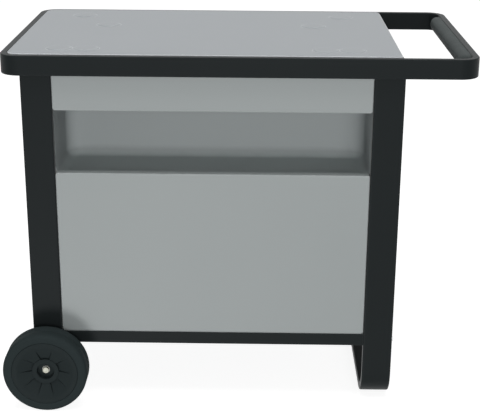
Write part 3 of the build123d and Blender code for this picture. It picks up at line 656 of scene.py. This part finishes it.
def width_of(co):
    """How far a point is from the wheel's back face."""
    return WHEEL_BACK - co.y


SPIN_STEPS = 240
DISH_CUTS = 11
DISH_NEAR = 0.004
DISH_LONG = 0.02
dish_middle = (on_wheel(DISH_RADIUS, RIM_FACE) + on_wheel(HUB_RADIUS, HUB_FACE)) / 2
pick(disc, "EDGE", lambda middle, e: ((middle - dish_middle).length < DISH_NEAR
                                      and e.calc_length() > DISH_LONG))
bpy.ops.mesh.subdivide(number_cuts=DISH_CUTS)
cut_points = [v.co for v in bmesh.from_edit_mesh(disc.data).verts if v.select]
dish_rings = [(polar(co)[0], width_of(co)) for co in cut_points]
spin_wheel(disc, SPIN_STEPS)
print("dish rings:", len(dish_rings))

# %% Pockets and creases
POCKET_COUNT = 5
POCKET_DEEP = 0.0030
POCKET_END = 0.065
CREASE_DEEP = 0.0026
POCKET_STEP = 360 / POCKET_COUNT
CREASE_STEP = POCKET_STEP / 2
HALF_STEP = 360 / SPIN_STEPS / 2


def from_nearest(angle, first, step):
    """Degrees from an angle to the nearest of evenly spaced ones."""
    return abs((angle - first + step / 2) % step - step / 2)


def press_ring(ring, height, wanted, depth):
    """Push some vertices of one ring of the dish into the disc."""
    def on_ring(co, normal):
        radius, angle = polar(co)
        unpressed = abs(width_of(co) - height) < 2 * SAME_PLACE
        return abs(radius - ring) < SAME_PLACE and unpressed and wanted(angle)
    pick(disc, "VERT", on_ring)
    bpy.ops.transform.translate(value=(0, depth, 0))


def in_crease(angle):
    """On one of the lines down the pockets' sides."""
    return from_nearest(angle, 0, CREASE_STEP) < HALF_STEP


def in_pocket(angle):
    """Between the two creases of a pocket; the first pocket is at the top."""
    return from_nearest(angle, 90, POCKET_STEP) < CREASE_STEP / 2 - HALF_STEP


for ring, height in dish_rings:
    share = max(0, (POCKET_END - ring) / (POCKET_END - HUB_RADIUS))
    press_ring(ring, height, in_crease, (POCKET_DEEP + CREASE_DEEP) * share)
    press_ring(ring, height, in_pocket, POCKET_DEEP * share)
print(POCKET_COUNT, "pockets pressed in", len(dish_rings), "rings")

# %% Ribs behind the web
RIB_STEP = 36


def on_rib(middle, normal):
    """A face of the web's back within one step of a rib's line."""
    radius, angle = polar(middle)
    on_web_back = normal.y > 0.9 and abs(width_of(middle) - WEB_BACK) < SAME_PLACE
    return (on_web_back and RIB_START < radius < RIB_END
            and from_nearest(angle, 0, RIB_STEP) < 2 * HALF_STEP)


join_up()
found = pick(disc, "FACE", on_rib)
bpy.ops.mesh.extrude_region_move(TRANSFORM_OT_translate={"value": (0, WEB_BACK - RIM_RECESS, 0)})
print("rib faces raised:", found)
close_up(disc, 32)
rear_disc = mirrored(disc, "rear_disc")
finish_piece(disc, wheel_plastic, "front_wheel", "wheel_plastic", "front_wheel_disc")
finish_piece(rear_disc, wheel_plastic, "rear_wheel", "wheel_plastic", "rear_wheel_disc")

# %% [markdown]
# ## Axle caps
# A pressed cap is pushed on each end of the axle: a low round button with a rolled edge. Half of its
# section is traced, from the middle of its face out round the edge and back under it, and spun; the
# vertices on the axis then merge into one pole. A cylinder would have a sharp edge and no wall.

# %% Axle caps
WASHER_THICK = 0.0015
SIDE_PLAY = 0.0004
CAP_STEPS = 48
CAP_START = RECESS_FLOOR + SIDE_PLAY + WASHER_THICK
button = [(0, 0.0050), (0.0060, 0.00495), (0.0073, 0.0047), (0.0078, 0.0043), (0.0080, 0.0037),
          (0.0080, 0), (0.0063, 0), (0.0063, 0.0036), (0, 0.0040)]
caps = trace("axle_buttons", [on_wheel(r, CAP_START + w) for r, w in button])
pick(caps, "EDGE", lambda middle, e: max(polar(v.co)[0] for v in e.verts) < SAME_PLACE)
bpy.ops.mesh.delete(type="EDGE")
spin_wheel(caps, CAP_STEPS)
close_up(caps, 50)
rear_cap = mirrored(caps, "rear_button")
bpy.ops.object.select_all(action="DESELECT")
rear_cap.select_set(True)
caps.select_set(True)
bpy.context.view_layer.objects.active = caps
bpy.ops.object.join()
finish_piece(caps, cap_steel, "cart", "zinc_steel", "axle_caps")

# %% [markdown]
# ## Handle grip
# The grip is a half-round plastic moulding on the inside of the ring's end, thinner towards its two
# ends. Its full section is traced at mid-length and two corners are rounded. The section is then
# extruded along the bar and, near each end, drawn in a little with every further extrusion, which gives
# the tapered tip that a plain bevel can't.

# %% Grip section
low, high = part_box("handle_grip")
RING_THICK = 0.016
GRIP_ROUND = 0.0158
WALL_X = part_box("top_ring")[1].x - RING_THICK
GRIP_REACH = high.y
grip_section = [(WALL_X, 0, high.z), (low.x, 0, high.z), (low.x, 0, low.z), (WALL_X, 0, low.z)]
grip = trace("soft_grip", [Vector(p) for p in grip_section])
round_corners(grip, grip_section[1:3], GRIP_ROUND, 10)
print("grip", round(2 * GRIP_REACH, 3), "long,", round(WALL_X - low.x, 4), "thick")

# %% Grip ends
TAPER = 0.042
TIPS = ((0.00, 1.00), (0.35, 0.985), (0.60, 0.945), (0.78, 0.875), (0.90, 0.77), (0.97, 0.63),
        (1.00, 0.46))
for way in (1, -1):
    pick(grip, "FACE", lambda middle, normal: abs(middle.y) < SAME_PLACE)
    reached = 0.0
    width = 1.0
    for along, share in TIPS:
        y = GRIP_REACH - TAPER + TAPER * along
        step = (0, way * (y - reached), 0)
        bpy.ops.mesh.extrude_region_move(TRANSFORM_OT_translate={"value": step})
        squeeze = share / width
        pivot = (WALL_X, way * y, (low.z + high.z) / 2)
        bpy.ops.transform.resize(value=(squeeze, 1, 0.5 + 0.5 * squeeze), center_override=pivot)
        reached = y
        width = share
close_up(grip, 40)
finish_piece(grip, grip_plastic, "cart", "grip_plastic", "handle_grip")

# %% [markdown]
# ## Weld beads
# The side rails are welded to the legs, and paint doesn't hide the ripples of a weld. One bead is a
# thin cylinder cut into short lengths, with every other ring drawn in and its ends closed down, then
# smoothed by one subdivision. It is copied into the corner on each side of each rail's two ends.

# %% One bead
BEAD_RADIUS = 0.0023
BEAD_LONG = 0.024
RIPPLE_COUNT = 14
RIPPLE_DRAW = 0.86
TIP_DRAW = 0.6
bead_piece = begin("weld_beads", bpy.ops.mesh.primitive_cylinder_add, vertices=8, radius=BEAD_RADIUS,
                   depth=BEAD_LONG, location=(0, 0, 0))
pick(bead_piece, "EDGE", lambda middle, e: abs(middle.z) < SAME_PLACE)
bpy.ops.mesh.subdivide(number_cuts=RIPPLE_COUNT - 1)
ripple = BEAD_LONG / RIPPLE_COUNT
pick(bead_piece, "VERT", lambda co, n: round((co.z + BEAD_LONG / 2) / ripple) % 2 == 1)
bpy.ops.transform.resize(value=(RIPPLE_DRAW, RIPPLE_DRAW, 1), center_override=(0, 0, 0))
pick(bead_piece, "VERT", lambda co, n: abs(co.z) > BEAD_LONG / 2 - SAME_PLACE)
bpy.ops.transform.resize(value=(TIP_DRAW, TIP_DRAW, 1), center_override=(0, 0, 0))
close_up(bead_piece, 80)
smooth = bead_piece.modifiers.new("smooth", "SUBSURF")
smooth.levels = smooth.render_levels = 1
bpy.ops.object.modifier_apply(modifier=smooth.name)

# %% Copies at the rails' ends
SINK = 0.0006
places = []
for name in ("left_bottom_rail", "left_top_rail", "right_bottom_rail", "right_top_rail"):
    low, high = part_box(name)
    for x in (low.x - SINK, high.x + SINK):
        for y in (low.y + SINK, high.y - SINK):
            places.append((x, y, (low.z + high.z) / 2))
copies = []
for place in places:
    bpy.ops.object.select_all(action="DESELECT")
    bead_piece.select_set(True)
    bpy.context.view_layer.objects.active = bead_piece
    bpy.ops.object.duplicate()
    bpy.ops.transform.translate(value=place)
    bpy.ops.object.transform_apply(location=True, rotation=True, scale=True)
    copies.append(bpy.context.object)
bpy.data.objects.remove(bead_piece)
bpy.ops.object.select_all(action="DESELECT")
for copy in copies:
    copy.select_set(True)
bpy.context.view_layer.objects.active = copies[0]
bpy.ops.object.join()
welds = bpy.context.object
welds.name = welds.data.name = "weld_beads"
finish_piece(welds, frame_paint, "cart", "frame_paint")
print(len(places), "beads")

# %% [markdown]
# ## The floor
# A product picture stands on white. More light would bleach the cart as well, so the floor is a large
# pale plane that takes the cart's shadow as diffuse paint does, and it also glows a little for the rays
# that see it as a background: the camera's, and those off gloss or through glass. That lifts it to white
# without putting more light on the cart.


# %% Background rays
def background_rays(tree, x, y):
    """1 for the rays that see the background: from the camera, off gloss or through glass."""
    ray = put(tree, "ShaderNodeLightPath", (x, y))
    seen = put(tree, "ShaderNodeMath", (x + 300, y), operation="MAXIMUM")
    seen_too = put(tree, "ShaderNodeMath", (x + 500, y), operation="MAXIMUM")
    tree.links.new(ray.outputs["Is Camera Ray"], seen.inputs[0])
    tree.links.new(ray.outputs["Is Glossy Ray"], seen.inputs[1])
    tree.links.new(seen.outputs[0], seen_too.inputs[0])
    tree.links.new(ray.outputs["Is Transmission Ray"], seen_too.inputs[1])
    return seen_too.outputs[0]


# %% Floor
FLOOR_SIZE = 40
FLOOR_GLOW = 0.88
WHITE = (1, 1, 1, 1)
bpy.ops.object.select_all(action="DESELECT")
bpy.ops.mesh.primitive_grid_add(x_subdivisions=12, y_subdivisions=12, size=FLOOR_SIZE, location=(0, 6, 0))
floor = bpy.context.object
floor.name = "studio_floor"
floor_paint, tree, shader = new_finish("floor_paint")
where = put(tree, "ShaderNodeTexCoord", (-900, 100))
mottle = put(tree, "ShaderNodeTexNoise", (-700, 100))
set_inputs(mottle, Scale=2.0, Detail=2.0)
pale = put(tree, "ShaderNodeMix", (-300, 100), data_type="RGBA")
pale.inputs["A"].default_value = (0.39, 0.39, 0.39, 1)
pale.inputs["B"].default_value = (0.41, 0.41, 0.41, 1)
glow = put(tree, "ShaderNodeMath", (-200, -200), operation="MULTIPLY")
glow.inputs[1].default_value = FLOOR_GLOW
tree.links.new(where.outputs["Object"], mottle.inputs["Vector"])
tree.links.new(mottle.outputs["Fac"], pale.inputs["Factor"])
tree.links.new(pale.outputs["Result"], shader.inputs["Base Color"])
tree.links.new(background_rays(tree, -900, -200), glow.inputs[0])
tree.links.new(glow.outputs[0], shader.inputs["Emission Strength"])
set_inputs(shader, Roughness=0.9, Specular_IOR_Level=0.0, Emission_Color=WHITE)
floor.data.materials.append(floor_paint)
print("floor", floor.dimensions[:])

# %% [markdown]
# ## Light
# The cart is lit as on a glowing table: its grey faces are even, and the wheel throws a soft shadow up
# and to the right on the panel and the rail. One soft lamp stands in front, one hangs over the worktop,
# and one shines up from under the floor, which is left out of what blocks it. The niche's back wall is
# nearly as bright as the panel, so a fourth lamp reaches into the niche alone. A white world fills the
# rest.


# %% World
FILL = 0.29
scene = bpy.context.scene
world = bpy.data.worlds.new("studio_world")
scene.world = world
world.use_nodes = True
tree = world.node_tree
fill = tree.nodes["Background"]
set_inputs(fill, Color=WHITE, Strength=FILL)
white = put(tree, "ShaderNodeBackground", (0, -200))
white.inputs["Color"].default_value = WHITE
choose = put(tree, "ShaderNodeMixShader", (250, 100))
tree.links.new(background_rays(tree, -600, 300), choose.inputs["Fac"])
tree.links.new(fill.outputs[0], choose.inputs[1])
tree.links.new(white.outputs[0], choose.inputs[2])
tree.links.new(choose.outputs[0], tree.nodes["World Output"].inputs["Surface"])
print("world fill", FILL)


# %% Lamps
def soft_lamp(name, place, aim, size, watts):
    """A square area lamp at a place, turned towards a point."""
    bpy.ops.object.light_add(type="AREA", location=place)
    lamp = bpy.context.object
    lamp.name = name
    lamp.data.size = size
    lamp.data.energy = watts
    lamp.rotation_euler = (Vector(aim) - Vector(place)).to_track_quat("-Z", "Y").to_euler()
    lamp.visible_camera = False
    print(name, "at", place, watts, "W")
    return lamp


soft_lamp("front_lamp", (0.60, -5.0, 1.20), (-0.05, -0.2, 0.6), 2.0, 74)
soft_lamp("top_lamp", (-0.1, -0.5, 5.7), (-0.1, 0.0, 0.85), 4.0, 200)
niche_lamp = soft_lamp("niche_lamp", (0.0, -5.0, 1.00), (-0.05, -0.1, 0.65), 1.5, 78)
table_lamp = soft_lamp("table_lamp", (-2.29, -9.36, -4.94), (-0.10, -0.29, 0.40), 2.9, 330)

# %% What the lamps reach
niche_only = bpy.data.collections.new("niche_lamp_reach")
niche_only.objects.link(cad_nodes["storage_bin"])
niche_lamp.light_linking.receiver_collection = niche_only
table_top = bpy.data.collections.new("table_top")
table_top.objects.link(floor)
table_lamp.light_linking.blocker_collection = table_top
table_top.collection_objects[0].light_linking.link_state = "EXCLUDE"

# %% [markdown]
# ## Camera
# The view comes from fitting a pinhole camera to the cart's edges in the picture: a long lens about
# three metres in front, a little above the worktop and tilted down. Placing it by eye would get the
# slant of the upright edges wrong. Image measures are taken for a frame of 480 x 420.

# %% Camera
FOCAL_PIXELS = 1172.462
FRAME_WIDTH_PIXELS = 480
CAMERA_PLACE = (0.046734, -2.842372, 1.387673)
PAN = math.radians(0.728)
TILT = math.radians(70.648)
ROLL = math.radians(0.377)
bpy.ops.object.camera_add(location=(0, 0, 0))
camera = bpy.context.object
camera.name = "studio_camera"
camera.data.sensor_width = 36
camera.data.lens = FOCAL_PIXELS / FRAME_WIDTH_PIXELS * camera.data.sensor_width
turn = Matrix.Rotation(PAN, 4, "Z") @ Matrix.Rotation(TILT, 4, "X") @ Matrix.Rotation(ROLL, 4, "Z")
camera.matrix_world = Matrix.Translation(CAMERA_PLACE) @ turn
camera.data.clip_end = 100
scene.camera = camera
scene.view_settings.view_transform = "Standard"
print("lens", round(camera.data.lens, 2), "mm")

# %% [markdown]
# ## Last update
# The view layer is updated once more, so every object's place is current.

# %% Update the view layer
bpy.context.view_layer.update()
